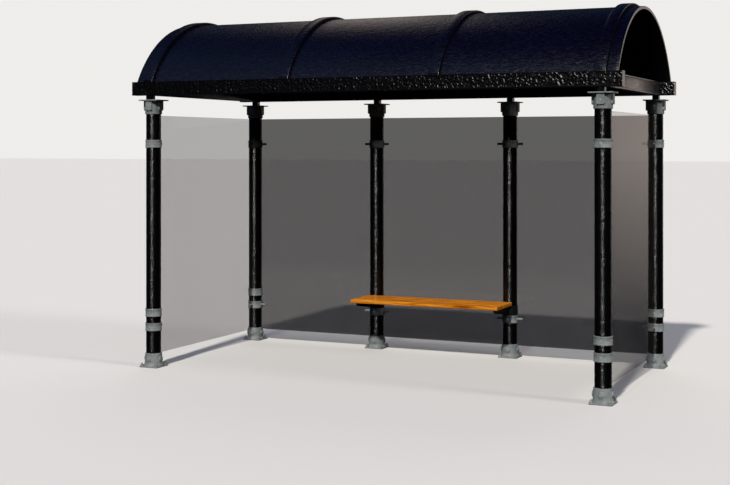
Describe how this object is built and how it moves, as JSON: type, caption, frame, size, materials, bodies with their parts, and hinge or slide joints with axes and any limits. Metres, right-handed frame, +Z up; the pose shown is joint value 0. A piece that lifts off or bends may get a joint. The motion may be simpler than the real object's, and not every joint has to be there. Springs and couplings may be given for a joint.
{
  "type": "bus shelter",
  "caption": "Open-fronted bus shelter: tubular posts in cast sockets carry a beam ring, a ribbed barrel vault and a plank bench.",
  "frame": {"origin": "ground level, midway between the front and rear rows of posts and midway between the end posts", "axes": "+Z up, +X along the shelter's length to the right seen from the front, +Y from the open front to the rear row with the bench"},
  "size_m": [3.986, 1.832, 2.8323],
  "materials": {
    "post_paint": "thick gloss black paint with an uneven, wrinkled surface",
    "casting": "blue-grey cast metal, matt, slightly mottled",
    "clamp_metal": "blue-grey cast metal, matt, slightly mottled",
    "hammered_paint": "gloss black paint over a coarse hammered surface",
    "smooth_paint": "smooth semi-gloss black paint",
    "roof_skin": "blue-black satin paint with a fine leathery grain",
    "varnished_wood": "orange-brown hardwood, clear varnished, grain along the planks",
    "bracket_paint": "semi-gloss black paint"
  },
  "bodies": {
    "root": {"post_front_left": "post_paint", "post_front_right": "post_paint", "post_rear_left": "post_paint", "post_rear_right": "post_paint", "post_mid_left": "post_paint", "post_mid_right": "post_paint", "base_front_left": "casting", "base_front_right": "casting", "base_rear_left": "casting", "base_rear_right": "casting", "base_mid_left": "casting", "base_mid_right": "casting", "head_front_left": "casting", "head_front_right": "casting", "head_rear_left": "casting", "head_rear_right": "casting", "head_mid_left": "casting", "head_mid_right": "casting", "neck_blocks_front": "hammered_paint", "neck_blocks_rear": "hammered_paint", "upper_ring_front_left": "clamp_metal", "upper_ring_front_right": "clamp_metal", "upper_ring_rear_left": "clamp_metal", "upper_ring_rear_right": "clamp_metal", "upper_ring_mid_left": "clamp_metal", "upper_ring_mid_right": "clamp_metal", "lower_rings_front_left": "clamp_metal", "lower_rings_front_right": "clamp_metal", "lower_rings_rear_left": "clamp_metal", "lower_rings_rear_right": "clamp_metal", "lower_ring_mid_left": "clamp_metal", "lower_ring_mid_right": "clamp_metal", "front_beam": "hammered_paint", "rear_beam": "hammered_paint", "left_end_beam": "smooth_paint", "right_end_beam": "smooth_paint", "roof_vault": "roof_skin", "rib_left": "roof_skin", "rib_mid_left": "roof_skin", "rib_mid_right": "roof_skin", "rib_right": "roof_skin", "seat_planks": "varnished_wood", "seat_bracket_left": "bracket_paint", "seat_bracket_right": "bracket_paint"}
  },
  "joints": []
}
